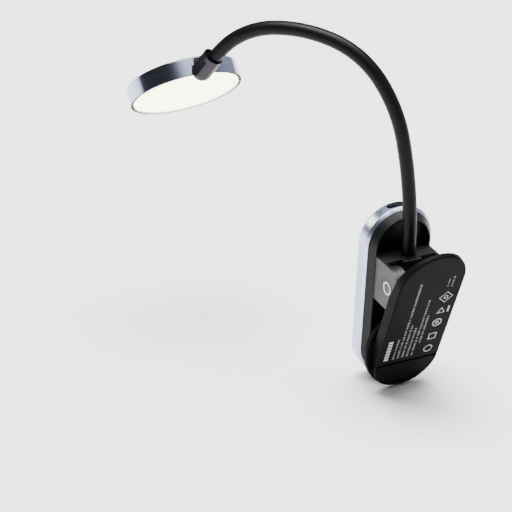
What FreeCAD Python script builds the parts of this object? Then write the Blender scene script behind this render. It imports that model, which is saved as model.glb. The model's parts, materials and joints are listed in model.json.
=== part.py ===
import FreeCAD, Part
import Sketcher
import math
import os

V = FreeCAD.Vector
Placement = FreeCAD.Placement
Rotation = FreeCAD.Rotation

# Clip-on reading lamp, in millimetres.
# Origin: middle of the gap between the two jaws. +Z up along the clip body, +Y out of the body's
# flat outer face, X along the hinge pin.

SIZES = {
    # clip body, a pill-shaped case
    "body_radius": 15.0, "body_upper": 45.0, "body_lower": 0.0,
    "case_front": 5.75, "case_depth": 6.55, "case_wall": 1.3, "case_face": 0.9,
    "case_round": 1.2, "case_bevel_in": 0.88, "case_bevel_deep": 1.1,
    # black inner shell with its bevelled rim, finger recess and pad floor
    "rim_radius": 12.0, "rim_front": 2.65, "rim_base_radius": 14.0, "plug_radius": 13.6,
    "plug_depth": 1.95, "recess_radius": 11.4, "recess_depth": 4.25, "block_top": 42.85,
    "floor_depth": 1.0, "bay_radius": 12.4, "bay_depth": 3.05, "bay_upper": 28.0,
    # charging socket and status light
    "port_y": 9.7, "port_half": 2.84, "port_radius": 1.63, "port_slot_gap": 0.12,
    "port_wall": 0.3, "screw_radius": 0.8, "screw_head_radius": 1.4, "screw_head_height": 0.7,
    "port_base": 51.5, "port_length": 7.4, "port_cavity": 6.2,
    "light_angle": 29.1, "light_radius": 0.4, "light_length": 2.4,
    # inside the case
    "battery_width": 20.0, "battery_thick": 4.1, "battery_height": 30.0, "battery_y": 4.9,
    "battery_base": -4.0, "battery_round": 0.8,
    "board_width": 19.0, "board_thick": 0.8, "board_height": 47.5, "board_y": 9.4,
    "board_base": 4.0,
    # hinge block on the body
    "block_half": 11.85, "block_bottom": 24.55, "cheek_thick": 3.0, "lug_radius": 9.15,
    "cheek_skin": 1.2, "boss_radius": 5.2,
    "hinge_y": -6.75, "hinge_z": 33.7, "pin_radius": 1.25, "column_half": 3.9,
    "button_radius": 4.2, "button_thick": 0.8, "button_gap": 0.06, "pocket_depth": 1.4,
    "hinge_pin_start": -9.9, "hinge_pin_length": 21.4, "column_front": 1.45,
    "switch_radius": 2.2, "switch_thick": 0.24,
    # rubber pads
    "pad_radius": 11.2, "pad_thick": 1.0, "pad_top": 14.0, "groove_radius": 0.45,
    "jaw_groove_radius": 0.4, "groove_pitch": 2.5,
    # lever arm, in its own frame: origin on the hinge axis, y out of its back
    "arm_tilt": 17.0, "arm_radius": 14.2, "arm_face": -10.93, "arm_depth": 5.2,
    "arm_wall": 1.3, "arm_upper": 10.3, "arm_end": -33.9, "arm_round": 0.8,
    "taper_start": 2.0, "taper_angle": 8.1,
    "rib_x": 4.1, "rib_thick": 1.3, "rib_radius": 3.2, "pin_clearance": 0.05,
    "liner_inset": 2.2, "liner_thick": 1.2, "lower_liner_start": -27.2, "lower_liner_length": 16.5,
    # torsion springs on the hinge pin
    "coil_radius": 8.1, "coil_wire": 0.33, "coil_pitch": 0.74, "coil_turns": 5.2,
    "coil_start": 10.25, "block_leg": 3.1, "lever_leg": 4.4, "well_radius": 8.55, "well_depth": 6.7,
    # self-levelling jaw
    "jaw_radius": 17.0, "jaw_front": -3.55, "jaw_thick": 1.6, "jaw_centre": 2.0,
    "jaw_rim_width": 1.3, "jaw_rim_height": 0.6,
    "tip_start": -34.5, "jaw_pin_y": -5.3, "jaw_pin_z": 1.5, "jaw_pin_radius": 0.8,
    "knuckle_radius": 1.4, "knuckle_inner": 8.0, "knuckle_width": 4.4,
    "jaw_pad_radius": 13.2, "jaw_pad_face": -1.75, "jaw_pad_sink": 0.6, "jaw_tip_depth": 9.0,
    # gooseneck
    "neck_heading": 48.0, "neck_y": -1.15, "neck_foot": 34.5, "neck_exit": 43.2,
    "sleeve_radius": 2.7, "core_radius": 1.6, "core_gap": 0.1, "joint_gap": 0.1,
    "ferrule_wall": 0.6, "flange_wall": 0.75, "flange_thick": 0.5, "segment_length": 23.8,
    "neck_straight": 5.5, "neck_inset": 4.4, "barrel_bend": 5.5,
    # socket that joins the neck to the head
    "barrel_radius": 4.0, "barrel_length": 8.0, "mouth_radius": 3.5, "mouth_depth": 1.5,
    "flat_distance": 3.05, "flat_start": 1.8,
    "drum_radius": 3.2, "drum_half": 2.4, "tongue_half": 1.1, "tongue_radius": 2.6, "web_half": 1.7,
    "head_pin_radius": 1.0, "pivot_in": 1.65, "pivot_up": 2.8, "pivot_side": 1.0,
    # head
    "head_tilt": 41.8, "head_turn": -5.5, "head_radius": 23.0, "head_thick": 7.3,
    "head_wall": 1.1, "head_lip": 1.0, "pivot_out": 3.55, "pivot_height": 2.1,
    "tongue_side": 1.45,
    "diffuser_thick": 1.4, "guide_thick": 2.2, "led_board_thick": 1.0, "back_thick": 1.3,
    "led_width": 2.8, "led_length": 3.5, "led_height": 0.7, "inner_ring": 8.0, "outer_ring": 17.0,
    # fits: a turning or dropped-in fit, and a gap that is only just open
    "running_fit": 0.05, "loose_fit": 0.1,
}
# turn of each gooseneck segment from the straight, bottom to top, in degrees
NECK_TURNS = [7.0, 7.0, 23.5, 38.5, 24.5, 39.0]
# the four hinge block screws: distance to the side, height
SCREWS = [(-10.3, 27.6), (-2.4, 28.6), (2.4, 28.6), (10.3, 27.6)]
SCREW_END = 0.1
PAD_GROOVES = 7
JAW_GROOVES = 8
COIL_SIDES = 15                     # straight lengths in one turn of a spring
LED_RINGS = [("inner_ring", 8), ("outer_ring", 16)]
WINDOW_ANGLES = (0, -16, 30)        # the tongue's room in the drum, in degrees

doc = FreeCAD.newDocument("reading_lamp")
sheet = doc.addObject("Spreadsheet::Sheet", "sheet")
for row, (alias, value) in enumerate(SIZES.items(), start=1):
    sheet.set(f"A{row}", alias)
    sheet.set(f"B{row}", str(value))
    sheet.setAlias(f"B{row}", alias)
doc.recompute()

parts = []      # finished sub-parts, one per file


def size(alias):
    return float(sheet.get(alias))


def bind(obj, **expressions):
    """Tie properties of an object to expressions of the sheet's sizes."""
    for prop, expression in expressions.items():
        words = expression.replace("(", " ( ").replace(")", " ) ").split()
        words = ["sheet." + word if word in SIZES else word for word in words]
        obj.setExpression(prop.replace("__", "."), " ".join(words))
    return obj


def finish(obj, label):
    """Register an object as a sub-part."""
    obj.Label = label
    parts.append(obj)
    return obj


# ---- primitives and booleans -------------------------------------------------------------

def box(name, x, y, z):
    """Box between two corners. Each argument is a pair of expressions."""
    obj = doc.addObject("Part::Box", name)
    for axis, side, (low, high) in zip("xyz", ("Length", "Width", "Height"), (x, y, z)):
        bind(obj, **{side: f"( {high} ) - ( {low} )", f"Placement__Base__{axis}": low})
    return obj


def rod(name, radius, length, base, direction):
    """Cylinder from a base point along a direction."""
    obj = doc.addObject("Part::Cylinder", name)
    bind(obj, Radius=radius, Height=length)
    obj.Placement = Placement(base, Rotation(V(0, 0, 1), direction))
    return obj


def ball(name, radius, centre):
    obj = doc.addObject("Part::Sphere", name)
    bind(obj, Radius=radius)
    obj.Placement = Placement(centre, Rotation())
    return obj


def fuse(name, shapes):
    obj = doc.addObject("Part::MultiFuse", name)
    obj.Shapes = shapes
    obj.Refine = True
    return obj


def cut(name, base, tools):
    """Take the tools away from the base, one after another."""
    for number, tool in enumerate(tools):
        obj = doc.addObject("Part::Cut", f"{name}_{number}")
        obj.Base = base
        obj.Tool = tool
        base = obj
    return base


# ---- PartDesign bodies with sketches facing along Y ----------------------------------------

def new_body(name):
    return doc.addObject("PartDesign::Body", name)


def plane_sketch(body, name, plane, level):
    """Sketch parallel to an origin plane. On XZ its offset is the level along +Y."""
    sketch = body.newObject("Sketcher::SketchObject", name)
    origin = [f for f in body.Origin.OriginFeatures if f.Role == plane][0]
    sketch.AttachmentSupport = [(origin, "")]
    sketch.MapMode = "FlatFace"
    sign = "-1 *" if plane == "XZ_Plane" else ""
    bind(sketch, AttachmentOffset__Base__z=f"{sign} ( {level} )")
    return sketch


def stadium(sketch, radius, upper, lower):
    """Pill outline about the sketch's vertical axis."""
    r, top, low = 10.0, 30.0, -5.0
    half_turn = math.pi
    g = sketch.addGeometry
    cap = g(Part.ArcOfCircle(Part.Circle(V(0, top, 0), V(0, 0, 1), r), 0, half_turn))
    left = g(Part.LineSegment(V(-r, top, 0), V(-r, low, 0)))
    base = g(Part.ArcOfCircle(Part.Circle(V(0, low, 0), V(0, 0, 1), r), half_turn, 2 * half_turn))
    right = g(Part.LineSegment(V(r, low, 0), V(r, top, 0)))
    add = sketch.addConstraint
    for one, other in ((cap, left), (left, base), (base, right), (right, cap)):
        add(Sketcher.Constraint("Tangent", one, 2, other, 1))
    add(Sketcher.Constraint("Equal", cap, base))
    add(Sketcher.Constraint("PointOnObject", cap, 3, -2))
    add(Sketcher.Constraint("PointOnObject", base, 3, -2))
    for kind, args, expression in (("Radius", (cap, r), radius),
                                   ("DistanceY", (-1, 1, cap, 3, top), upper),
                                   ("DistanceY", (-1, 1, base, 3, low), lower)):
        index = add(Sketcher.Constraint(kind, *args))
        bind(sketch, **{f"Constraints[{index}]": expression})


def arch(sketch, radius, centre, straight, up=True):
    """Half-round outline closed by straight sides and a flat edge, open side up or down."""
    r, c, s = 10.0, 20.0, 12.0 if up else 28.0
    start = 0 if up else math.pi
    ends = (V(r, c, 0), V(-r, c, 0)) if up else (V(-r, c, 0), V(r, c, 0))
    corners = [V(p.x, s, 0) for p in ends]
    g = sketch.addGeometry
    add = sketch.addConstraint
    arc = g(Part.ArcOfCircle(Part.Circle(V(0, c, 0), V(0, 0, 1), r), start, start + math.pi))
    side_a = g(Part.LineSegment(ends[1], corners[1]))
    flat = g(Part.LineSegment(corners[1], corners[0]))
    side_b = g(Part.LineSegment(corners[0], ends[0]))
    add(Sketcher.Constraint("Tangent", arc, 2, side_a, 1))
    add(Sketcher.Constraint("Coincident", side_a, 2, flat, 1))
    add(Sketcher.Constraint("Coincident", flat, 2, side_b, 1))
    add(Sketcher.Constraint("Tangent", side_b, 2, arc, 1))
    add(Sketcher.Constraint("Horizontal", flat))
    add(Sketcher.Constraint("Vertical", side_a))
    add(Sketcher.Constraint("Vertical", side_b))
    add(Sketcher.Constraint("PointOnObject", arc, 3, -2))
    for kind, args, expression in (("Radius", (arc, r), radius),
                                   ("DistanceY", (-1, 1, arc, 3, c), centre),
                                   ("DistanceY", (-1, 1, flat, 1, s), straight)):
        index = add(Sketcher.Constraint(kind, *args))
        bind(sketch, **{f"Constraints[{index}]": expression})


def extrude(body, kind, sketch, length, outward):
    """Pad or Pocket a sketch. Outward follows the sketch's normal. The volume must change."""
    before = body.Shape.Volume if body.Tip else 0.0
    feature = body.newObject(f"PartDesign::{kind}", f"{sketch.Name}_{kind}")
    feature.Profile = sketch
    bind(feature, Length=length)
    feature.Reversed = (not outward) if kind == "Pad" else outward
    doc.recompute()
    if abs(body.Shape.Volume - before) < 0.01:
        raise RuntimeError(f"{feature.Name} changes nothing")
    return feature


def edges_at(shape, axis, level, longer_than=0.0):
    """Names of a shape's edges that lie in one plane across an axis."""
    found = []
    for number, edge in enumerate(shape.Edges, start=1):
        low = getattr(edge.BoundBox, axis + "Min")
        high = getattr(edge.BoundBox, axis + "Max")
        if abs(low - level) < 1e-4 and abs(high - level) < 1e-4 and edge.Length > longer_than:
            found.append(f"Edge{number}")
    return found


def dress(body, kind, names, **sizes):
    """Fillet or Chamfer on the named edges of the body's last feature."""
    last = body.Tip
    feature = body.newObject(f"PartDesign::{kind}", f"{body.Name}_{kind}")
    feature.Base = (last, names)
    if "Size2" in sizes:
        feature.ChamferType = "Two distances"
    bind(feature, **sizes)
    doc.recompute()
    return feature


# ---- clip body: metal case -----------------------------------------------------------------

def metal_case():
    """Anodised tray that forms the band round the clip and its flat outer face."""
    body = new_body("metal_case_blank")
    outline = plane_sketch(body, "case_outline", "XZ_Plane", "case_front")
    stadium(outline, "body_radius", "body_upper", "body_lower")
    extrude(body, "Pad", outline, "case_depth", outward=False)
    back = size("case_front") + size("case_depth")
    dress(body, "Fillet", edges_at(body.Shape, "Y", back), Radius="case_round")
    dress(body, "Chamfer", edges_at(body.Shape, "Y", size("case_front")),
          Size="case_bevel_in", Size2="case_bevel_deep")
    hollow = plane_sketch(body, "case_hollow", "XZ_Plane", "case_front")
    stadium(hollow, "body_radius - case_wall", "body_upper", "body_lower")
    extrude(body, "Pocket", hollow, "case_depth - case_face", outward=False)
    slot = box("port_slot", ("-1 * port_half", "port_half"),
               ("port_y - port_radius - port_slot_gap", "port_y + port_radius + port_slot_gap"),
               ("port_base + 3", "body_upper + body_radius + 1"))
    ends = []
    for side in (-1, 1):
        base = V(side * size("port_half"), size("port_y"), size("port_base") + 3)
        ends.append(rod(f"port_slot_end_{side + 1}", "port_radius + port_slot_gap",
                        "body_radius", base, V(0, 0, 1)))
    pinhole = rod("light_hole", "light_radius + running_fit", "4", light_point(12.5), light_direction())
    return finish(cut("metal_case_cut", body, [slot, *ends, pinhole]), "metal_case")


def light_direction():
    angle = math.radians(size("light_angle"))
    return V(-math.sin(angle), 0, math.cos(angle))


def light_point(distance):
    centre = V(0, size("port_y") - 0.35, size("body_upper"))
    return centre + light_direction() * distance


def status_light():
    """Clear pipe that carries the charging light to a pinhole in the band."""
    start = size("body_radius") - size("light_length") - 0.1
    finish(rod("status_light", "light_radius", "light_length", light_point(start),
               light_direction()), "status_light_pipe")


# ---- clip body: black inner shell ------------------------------------------------------------

def inner_shell():
    """Black tray that closes the case: bevelled rim, finger recess, floor for the pad."""
    body = new_body("inner_shell_blank")
    wide = plane_sketch(body, "rim_base", "XZ_Plane", "case_front")
    stadium(wide, "rim_base_radius", "body_upper", "body_lower")
    narrow = plane_sketch(body, "rim_edge", "XZ_Plane", "rim_front")
    stadium(narrow, "rim_radius", "body_upper", "body_lower")
    bevel = body.newObject("PartDesign::AdditiveLoft", "rim_bevel")
    bevel.Profile = wide
    bevel.Sections = [narrow]
    bevel.Ruled = True
    doc.recompute()
    plug = plane_sketch(body, "plug", "XZ_Plane", "case_front")
    stadium(plug, "plug_radius", "body_upper", "body_lower")
    extrude(body, "Pad", plug, "plug_depth", outward=False)
    recess = plane_sketch(body, "recess", "XZ_Plane", "rim_front")
    arch(recess, "recess_radius", "body_upper", "block_top", up=True)
    extrude(body, "Pocket", recess, "recess_depth", outward=False)
    floor = plane_sketch(body, "pad_floor", "XZ_Plane", "rim_front")
    arch(floor, "recess_radius", "body_lower", "block_top", up=False)
    extrude(body, "Pocket", floor, "floor_depth", outward=False)
    bay = plane_sketch(body, "battery_bay", "XZ_Plane", "case_front + plug_depth")
    stadium(bay, "bay_radius", "bay_upper", "body_lower")
    extrude(body, "Pocket", bay, "bay_depth", outward=True)
    holes = [rod(f"shell_screw_hole_{number}", "screw_radius + running_fit", "7", point, V(0, 1, 0))
             for number, point in enumerate(screw_points())]
    finish(cut("inner_shell_cut", body, holes), "inner_shell")


def screw_points():
    """Inner ends of the four screws that hold the hinge block to the inner shell."""
    return [V(x, SCREW_END, z) for x, z in SCREWS]


def block_screws():
    """Screws driven from inside the case, through the inner shell, into the hinge block."""
    screws = []
    for number, point in enumerate(screw_points()):
        head_base = V(point.x, size("case_front") + size("plug_depth") - size("bay_depth"),
                      point.z)
        length = round(head_base.y - point.y + 0.1, 4)
        shank = rod(f"screw_shank_{number}", "screw_radius", str(length), point, V(0, 1, 0))
        screw_head = rod(f"screw_head_{number}", "screw_head_radius", "screw_head_height",
                         head_base, V(0, 1, 0))
        screws.append(fuse(f"block_screw_{number}", [shank, screw_head]))
    group = doc.addObject("Part::Compound", "block_screws_group")
    group.Links = screws
    finish(group, "block_screws")


def fixed_pad():
    """Rubber pad on the body's side of the jaws, with grip grooves across it."""
    body = new_body("pad_blank")
    outline = plane_sketch(body, "pad_outline", "XZ_Plane", "rim_front")
    stadium(outline, "pad_radius", "pad_top - pad_radius", "body_lower")
    extrude(body, "Pad", outline, "pad_thick - 0.02", outward=False)
    grooves = []
    for number in range(PAD_GROOVES):
        z = size("groove_pitch") * (number - 3)
        grooves.append(rod(f"pad_groove_{number}", "groove_radius", "2 * pad_radius",
                           V(-size("pad_radius"), size("rim_front"), z), V(1, 0, 0)))
    finish(cut("fixed_pad_cut", body, grooves), "fixed_jaw_pad")


# ---- inside the case ---------------------------------------------------------------------------

def electronics():
    """Battery, circuit board and charging socket."""
    battery = box("battery_block", ("-0.5 * battery_width", "0.5 * battery_width"),
                  ("battery_y", "battery_y + battery_thick"),
                  ("battery_base", "battery_base + battery_height"))
    rounded = doc.addObject("Part::Fillet", "battery_rounded")
    rounded.Base = battery
    edge_round = size("battery_round")
    rounded.Edges = [(number, edge_round, edge_round) for number in range(1, 13)]
    finish(rounded, "battery")
    board = box("board_plate", ("-0.5 * board_width", "0.5 * board_width"),
                ("board_y", "board_y + board_thick"), ("board_base", "board_base + board_height"))
    notch = box("board_notch", ("-5", "5"), ("9", "11"), ("51", "53"))
    finish(cut("board_cut", board, [notch]), "main_board")
    socket = charging_tube("port_shell", "port_radius", "port_length", 0.0)
    cavity = charging_tube("port_cavity", "port_radius - port_wall", "port_cavity",
                           size("port_length") - size("port_cavity") + 0.01)
    tongue = box("port_tongue", ("-3.3", "3.3"), ("port_y - 0.35", "port_y + 0.35"),
                 ("port_base + 0.5", "port_base + port_length - 0.9"))
    hollow = cut("port_hollow", socket, [cavity])
    finish(fuse("usb_c_receptacle", [hollow, tongue]), "usb_c_receptacle")


def charging_tube(name, radius, length, rise):
    """Flat-sided oval tube of the charging socket, standing along Z."""
    base_z = size("port_base") + rise
    pieces = []
    for side in (-1, 1):
        pieces.append(rod(f"{name}_end_{side + 1}", radius, length,
                          V(side * size("port_half"), size("port_y"), base_z), V(0, 0, 1)))
    middle = doc.addObject("Part::Box", name + "_middle")
    bind(middle, Length="2 * port_half", Width=f"2 * ( {radius} )", Height=length,
         Placement__Base__x="-1 * port_half", Placement__Base__y=f"port_y - ( {radius} )")
    middle.Placement.Base.z = base_z
    return fuse(name, pieces + [middle])


# ---- hinge block, pin, springs, button ------------------------------------------------------------

HINGE = V(0, size("hinge_y"), size("hinge_z"))
ALONG_X = V(1, 0, 0)


def hinge_block():
    """Block on the body: two round-ended cheeks for the pin and a column for the neck."""
    z_span = ("block_bottom", "block_top")
    base = box("block_base", ("-1 * block_half", "block_half"), ("-3.2", "rim_front - 0.05"),
               z_span)
    tenon = box("block_tenon", ("0.1 - recess_radius", "recess_radius - 0.1"),
                ("rim_front - 0.1", "rim_front + floor_depth"), z_span)
    column = box("block_column", ("-1 * column_half", "column_half"), ("hinge_y + column_front", "0"),
                 z_span)
    pieces = [base, tenon, column]
    wells, bosses = [], []
    for side, low in ((-1, "-1 * block_half"), (1, "block_half - cheek_skin")):
        hand = "left" if side < 0 else "right"
        pieces.append(box(f"cheek_{hand}", (low, f"{low} + cheek_skin"), ("hinge_y", "0"),
                          z_span))
        outside = HINGE + ALONG_X * side * size("block_half")
        inside = outside - ALONG_X * side * size("cheek_skin")
        pieces.append(rod(f"cheek_round_{hand}", "lug_radius", "cheek_skin", outside,
                          ALONG_X * -side))
        wells.append(rod(f"spring_well_{hand}", "well_radius", "well_depth", inside,
                         ALONG_X * -side))
        bosses.append(rod(f"cheek_boss_{hand}", "boss_radius", "cheek_thick - 0.5 * cheek_skin",
                          outside - ALONG_X * side * size("cheek_skin") / 2, ALONG_X * -side))
    walls = cut("block_walls", fuse("block_outline", pieces), wells)
    solid = fuse("block_solid", [walls, *bosses])
    neck_point = V(0, size("neck_y"), 0)
    bore = rod("ferrule_bore", "sleeve_radius + 0.62", "20", neck_point + V(0, 0, 34.2),
               V(0, 0, 1))
    wire_well = rod("wire_well", "1.3", "4", neck_point + V(0, 0, 31), V(0, 0, 1))
    wire_way = rod("wire_way", "1.1", "6", V(0, size("neck_y"), 32), V(0, 1, 0))
    pin_bore = rod("pin_bore", "pin_radius", "25", pin_start(), ALONG_X)
    pocket = rod("button_pocket", "button_radius + button_gap", "pocket_depth + 1",
                 HINGE - ALONG_X * (size("block_half") + 1), ALONG_X)
    pilots = [rod(f"block_pilot_{number}", "screw_radius", "8", point, V(0, 1, 0))
              for number, point in enumerate(screw_points())]
    finish(cut("hinge_block_cut", solid,
               [bore, wire_well, wire_way, pin_bore, pocket, *pilots]), "hinge_block")


def pin_start():
    return HINGE + ALONG_X * size("hinge_pin_start")


def hinge_pin():
    """Steel pin pressed into both cheeks. The lever turns on it."""
    finish(rod("hinge_pin", "pin_radius", "hinge_pin_length", pin_start(), ALONG_X), "hinge_pin")


def power_button():
    """Round push button in the left cheek, and the dome switch under it."""
    outer = HINGE - ALONG_X * size("block_half")
    disc = rod("button_disc", "button_radius", "button_thick", outer, ALONG_X)
    softened = doc.addObject("Part::Fillet", "button_softened")
    softened.Base = disc
    softened.Edges = [(3, 0.2, 0.2)]
    finish(softened, "power_button")
    floor = size("pocket_depth") - size("block_half")
    finish(rod("button_switch", "switch_radius", "switch_thick", HINGE + ALONG_X * (floor - 0.25),
               ALONG_X), "button_switch")


def torsion_springs():
    """Two coil springs round the pin that push the lever's jaw end shut."""
    radius, pitch, turns = size("coil_radius"), size("coil_pitch"), size("coil_turns")
    steps = round(COIL_SIDES * turns)
    springs = []
    for side in (-1, 1):
        start = HINGE + ALONG_X * side * size("coil_start")
        path = []
        for step in range(steps + 1):
            angle = 2 * math.pi * step / COIL_SIDES
            path.append(start - V(side * pitch * step / COIL_SIDES,
                                  radius * math.sin(angle), -radius * math.cos(angle)))
        last = 2 * math.pi * steps / COIL_SIDES
        block_end = path[0] + V(0, size("block_leg"), 0)
        lever_end = path[-1] + V(0, -math.cos(last), -math.sin(last)) * size("lever_leg")
        path = [block_end] + path + [lever_end]
        circle = Part.Wire(Part.makeCircle(size("coil_wire"), block_end, path[1] - block_end))
        springs.append(Part.makePolygon(path).makePipeShell([circle], True, False, 1))
    feature = doc.addObject("Part::Feature", "springs")
    feature.Shape = Part.makeCompound(springs)
    finish(feature, "torsion_springs")


# ---- lever arm ------------------------------------------------------------------------------------

def arm_placement():
    return Placement(HINGE, Rotation(ALONG_X, size("arm_tilt")))


def jaw_room(name):
    """Cutter that keeps the lever clear of the jaw plate at its lower end."""
    return box(name, ("-20", "20"), ("jaw_front - 0.8", "10"), ("-20", "14"))


def taper_room(name, inset):
    """Cutter behind the lever's back edge, which slopes towards the finger end."""
    wedge = doc.addObject("Part::Box", name)
    wedge.Length, wedge.Width, wedge.Height = 40, 10, 60
    edge = V(-20, size("arm_face") + size("arm_depth") - inset, size("taper_start"))
    slope = Placement(edge, Rotation(ALONG_X, size("taper_angle")))
    wedge.Placement = arm_placement().multiply(slope)
    return wedge


def arm_cover():
    """Outer cover of the lever: a rounded tray with two ribs that reach the hinge pin."""
    body = new_body("arm_tray")
    outline = plane_sketch(body, "arm_outline", "XZ_Plane", "arm_face")
    arch(outline, "arm_radius", "arm_upper", "arm_end", up=True)
    extrude(body, "Pad", outline, "arm_depth", outward=False)
    dress(body, "Fillet", edges_at(body.Shape, "Y", size("arm_face"), 20.0),
          Radius="arm_round")
    hollow = plane_sketch(body, "arm_hollow", "XZ_Plane", "arm_face + arm_wall")
    arch(hollow, "arm_radius - arm_wall", "arm_upper", "arm_end - 1", up=True)
    extrude(body, "Pocket", hollow, "arm_depth", outward=False)
    body.Placement = arm_placement()
    turn = arm_placement()
    ribs = []
    for side in (-1, 1):
        low = size("rib_x") if side > 0 else -size("rib_x") - size("rib_thick")
        web = doc.addObject("Part::Box", f"rib_web_{side + 1}")
        bind(web, Length="rib_thick", Width="-1 * arm_face - 0.6 * arm_wall",
             Height="2 * rib_radius")
        web.Placement = turn.multiply(Placement(
            V(low, size("arm_face") + 0.6 * size("arm_wall"), -size("rib_radius")), Rotation()))
        eye = rod(f"rib_eye_{side + 1}", "rib_radius", "rib_thick", HINGE + ALONG_X * low,
                  ALONG_X)
        ribs += [web, eye]
    solid = fuse("arm_cover_solid", [body, *ribs])
    bore = rod("arm_pin_bore", "pin_radius + pin_clearance", "30", HINGE - ALONG_X * 15, ALONG_X)
    jaw_bore = rod("arm_jaw_bore", "jaw_pin_radius", "40",
                   V(-20, size("jaw_pin_y"), size("jaw_pin_z")), ALONG_X)
    tools = [bore, jaw_bore, jaw_room("arm_jaw_room"), taper_room("arm_taper", 0)]
    finish(cut("arm_cover_cut", solid, tools), "arm_cover")


def arm_liners():
    """Two plates that close the lever's back, above and below the hinge."""
    half = "arm_radius - arm_wall - loose_fit"
    body = new_body("finger_wedge")
    outline = plane_sketch(body, "finger_wedge_outline", "XZ_Plane",
                           "arm_face + arm_wall + 0.1")
    arch(outline, half, "arm_upper", "10.0", up=True)
    extrude(body, "Pad", outline, "arm_depth", outward=False)
    body.Placement = arm_placement()
    finish(cut("finger_liner_cut", body, [taper_room("liner_taper", 0.2)]), "finger_liner")
    plate = doc.addObject("Part::Box", "lower_liner_plate")
    bind(plate, Length=f"2 * ( {half} )", Width="liner_thick", Height="lower_liner_length")
    corner = V(0.1 + size("arm_wall") - size("arm_radius"),
               size("arm_face") + size("arm_depth") - size("liner_inset"),
               size("lower_liner_start"))
    plate.Placement = arm_placement().multiply(Placement(corner, Rotation()))
    finish(cut("lower_liner_cut", plate, [jaw_room("liner_jaw_room")]), "lower_liner")


# ---- self-levelling jaw ------------------------------------------------------------------------------

def jaw():
    """Round jaw plate that lies flat on the page, with the lever's half-moon tip on it."""
    body = new_body("jaw_disc")
    outline = plane_sketch(body, "jaw_outline", "XZ_Plane", "jaw_front")
    stadium(outline, "jaw_radius", "jaw_centre + 0.4", "jaw_centre")
    extrude(body, "Pad", outline, "jaw_thick", outward=False)
    rim = plane_sketch(body, "jaw_rim", "XZ_Plane", "jaw_front")
    stadium(rim, "jaw_radius", "jaw_centre + 0.4", "jaw_centre")
    extrude(body, "Pad", rim, "jaw_rim_height", outward=True)
    dish = plane_sketch(body, "jaw_dish", "XZ_Plane", "jaw_front - jaw_rim_height")
    stadium(dish, "jaw_radius - jaw_rim_width", "jaw_centre + 0.4", "jaw_centre")
    extrude(body, "Pocket", dish, "jaw_rim_height", outward=False)
    tip_body = new_body("jaw_tip_blank")
    tip = plane_sketch(tip_body, "tip_outline", "XZ_Plane", "arm_face")
    arch(tip, "arm_radius", "tip_start - 0.2", "tip_start", up=False)
    extrude(tip_body, "Pad", tip, "jaw_tip_depth", outward=False)
    dress(tip_body, "Fillet", edges_at(tip_body.Shape, "Y", size("arm_face"), 30.0),
          Radius="arm_round")
    tip_body.Placement = arm_placement()
    beyond = box("tip_keep_out", ("-20", "20"), ("jaw_front + 0.5 * jaw_thick", "20"),
                 ("-30", "30"))
    tip_piece = cut("jaw_tip", tip_body, [beyond])
    knuckles = []
    pin_point = V(0, size("jaw_pin_y"), size("jaw_pin_z"))
    for side in (-1, 1):
        low = "knuckle_inner" if side > 0 else "-1 * knuckle_inner - knuckle_width"
        start = size("knuckle_inner") if side > 0 else -size("knuckle_inner") - size("knuckle_width")
        knuckles.append(rod(f"knuckle_{side + 1}", "knuckle_radius", "knuckle_width",
                            pin_point + ALONG_X * start, ALONG_X))
        web = box(f"knuckle_web_{side + 1}", (low, f"{low} + knuckle_width"),
                  ("jaw_pin_y", "jaw_front + 0.4"),
                  ("jaw_pin_z - 0.6", "jaw_pin_z + knuckle_radius"))
        knuckles.append(web)
    solid = fuse("jaw_solid", [body, tip_piece, *knuckles])
    bore = rod("jaw_bore", "jaw_pin_radius + pin_clearance", "40", pin_point - ALONG_X * 20,
               ALONG_X)
    seat = rod("jaw_pad_seat", "jaw_pad_radius + running_fit", "5",
               V(0, pad_seat_y(), size("jaw_centre")), V(0, 1, 0))
    finish(cut("floating_jaw_cut", solid, [bore, seat]), "floating_jaw")


def pad_seat_y():
    return size("jaw_front") + size("jaw_thick") - size("jaw_pad_sink")


def jaw_pad():
    """Rubber disc on the moving jaw, grooved like the fixed one."""
    start = pad_seat_y()
    length = size("jaw_pad_face") - start
    disc = rod("jaw_pad_disc", "jaw_pad_radius", str(round(length, 4)),
               V(0, start, size("jaw_centre")), V(0, 1, 0))
    grooves = []
    for number in range(JAW_GROOVES):
        z = size("jaw_centre") + size("groove_pitch") * (number - 3.5)
        grooves.append(rod(f"jaw_groove_{number}", "jaw_groove_radius", "2 * jaw_pad_radius + 2",
                           V(-size("jaw_pad_radius") - 1, size("jaw_pad_face"), z), ALONG_X))
    finish(cut("jaw_pad_cut", disc, grooves), "jaw_pad")


def jaw_pin():
    """Pin of the self-levelling jaw, pressed through the lever's side walls."""
    start = V(0.05 - size("arm_radius"), size("jaw_pin_y"), size("jaw_pin_z"))
    finish(rod("jaw_pin", "jaw_pin_radius", "2 * arm_radius - 0.1", start, ALONG_X), "jaw_pin")


# ---- gooseneck ---------------------------------------------------------------------------------------

HEADING = V(-math.cos(math.radians(size("neck_heading"))),
            math.sin(math.radians(size("neck_heading"))), 0)


def neck_frames():
    """Start point, tangent and inward normal of every segment, and of the neck's end."""
    point = V(0, size("neck_y"), size("neck_exit"))
    angle = 0.0
    frames = []
    for turn in NECK_TURNS + [None]:
        tangent = V(0, 0, 1) * math.cos(angle) + HEADING * math.sin(angle)
        normal = HEADING * math.cos(angle) - V(0, 0, 1) * math.sin(angle)
        frames.append((point, tangent, normal))
        if turn is None:
            break
        step = math.radians(turn)
        radius = size("segment_length") / step
        point = point + tangent * radius * math.sin(step) \
            + normal * radius * (1 - math.cos(step))
        angle += step
    return frames


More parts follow.
